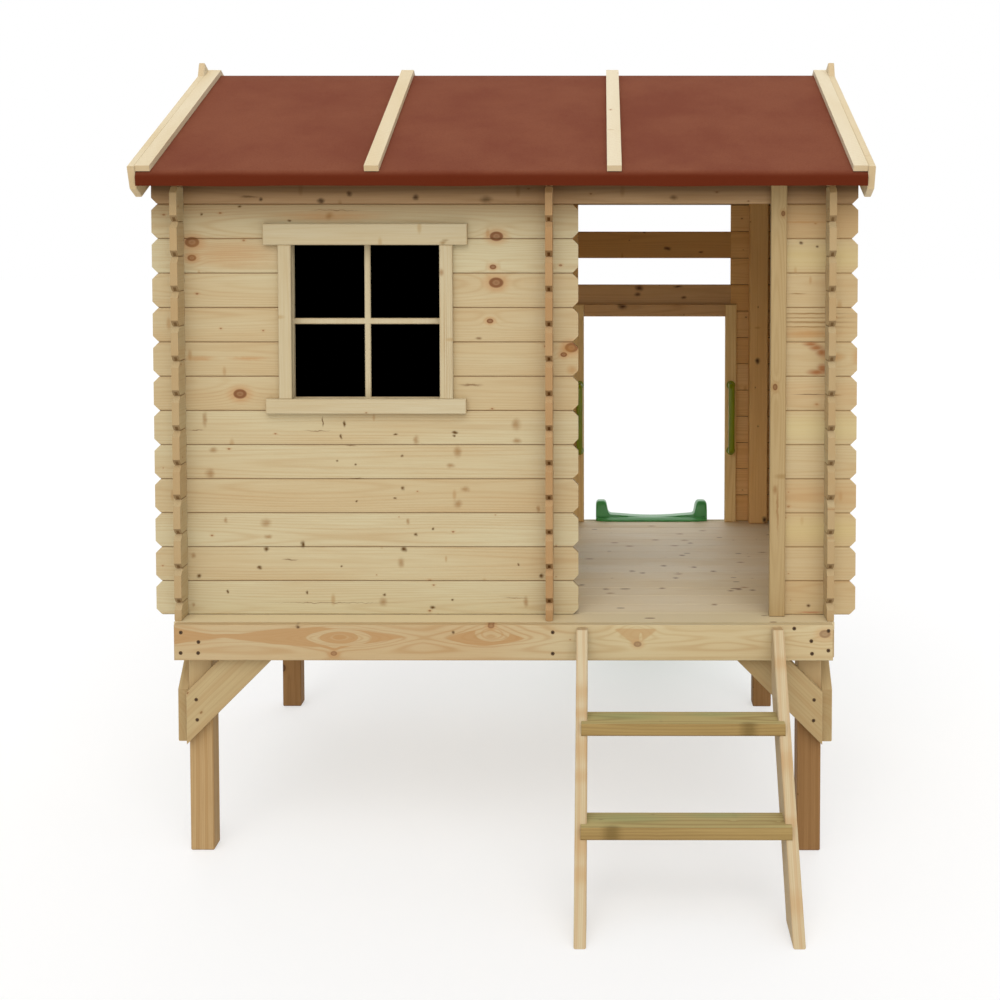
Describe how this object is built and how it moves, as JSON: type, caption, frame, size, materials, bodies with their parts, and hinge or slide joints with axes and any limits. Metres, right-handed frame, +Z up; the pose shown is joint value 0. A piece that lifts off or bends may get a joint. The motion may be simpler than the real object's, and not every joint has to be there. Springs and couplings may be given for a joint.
{
  "type": "playhouse with slide",
  "caption": "Raised log playhouse with gable roof, glazed window, open porch, front ladder and plastic slide at the rear.",
  "frame": {"origin": "centre of the bounding box at ground level", "axes": "+X to the right of someone facing the ladder, +Y from the ladder towards the slide, +Z up"},
  "size_m": [1.84, 2.8142, 2.0654],
  "materials": {
    "wall_boards": "planed, oiled",
    "trim_boards": "planed, oiled",
    "deck_boards": "planed, walked on",
    "frame_timber": "planed",
    "ladder_timber": "planed",
    "tread_timber": "pressure treated",
    "roof_timber": "planed",
    "roof_felt": "bitumen felt with mineral grit",
    "slide_plastic": "moulded, slightly rough",
    "grip_plastic": "moulded",
    "window_pane": "dark, polished"
  },
  "bodies": {
    "root": {"barge_front_left": "roof_timber", "barge_front_right": "roof_timber", "barge_rear_left": "roof_timber", "barge_rear_right": "roof_timber", "brace_front_left": "frame_timber", "brace_front_right": "frame_timber", "brace_rear_left": "frame_timber", "brace_rear_right": "frame_timber", "brace_side_front_left": "frame_timber", "brace_side_front_right": "frame_timber", "brace_side_rear_left": "frame_timber", "brace_side_rear_right": "frame_timber", "deck": "deck_boards", "fascia_front": "frame_timber", "fascia_rear": "frame_timber", "front_top_log": "wall_boards", "front_wall_left": "wall_boards", "front_wall_right": "wall_boards", "grip_left": "grip_plastic", "grip_right": "grip_plastic", "ladder_stringer_left": "ladder_timber", "ladder_stringer_right": "ladder_timber", "ladder_tread_lower": "tread_timber", "ladder_tread_upper": "tread_timber", "leg_front_left": "frame_timber", "leg_front_right": "frame_timber", "leg_rear_left": "frame_timber", "leg_rear_right": "frame_timber", "partition_wall": "wall_boards", "porch_jamb": "trim_boards", "rear_jamb_left": "trim_boards", "rear_jamb_right": "trim_boards", "rear_lintel": "trim_boards", "rear_post": "trim_boards", "rear_top_log": "wall_boards", "rear_transom_lower": "wall_boards", "rear_transom_upper": "wall_boards", "rear_wall_left": "wall_boards", "rear_wall_right": "wall_boards", "ridge_beam": "roof_timber", "rim_front": "frame_timber", "rim_left": "frame_timber", "rim_rear": "frame_timber", "rim_right": "frame_timber", "roof_batten_left": "roof_timber", "roof_batten_mid_left": "roof_timber", "roof_batten_mid_right": "roof_timber", "roof_batten_right": "roof_timber", "roof_boards_front": "roof_timber", "roof_boards_rear": "roof_timber", "roof_felt": "roof_felt", "side_wall_left": "wall_boards", "side_wall_right": "wall_boards", "slide": "slide_plastic", "window_header": "trim_boards", "window_pane": "window_pane", "window_sash": "trim_boards", "window_sill": "trim_boards", "window_trim_left": "trim_boards", "window_trim_right": "trim_boards"}
  },
  "joints": []
}
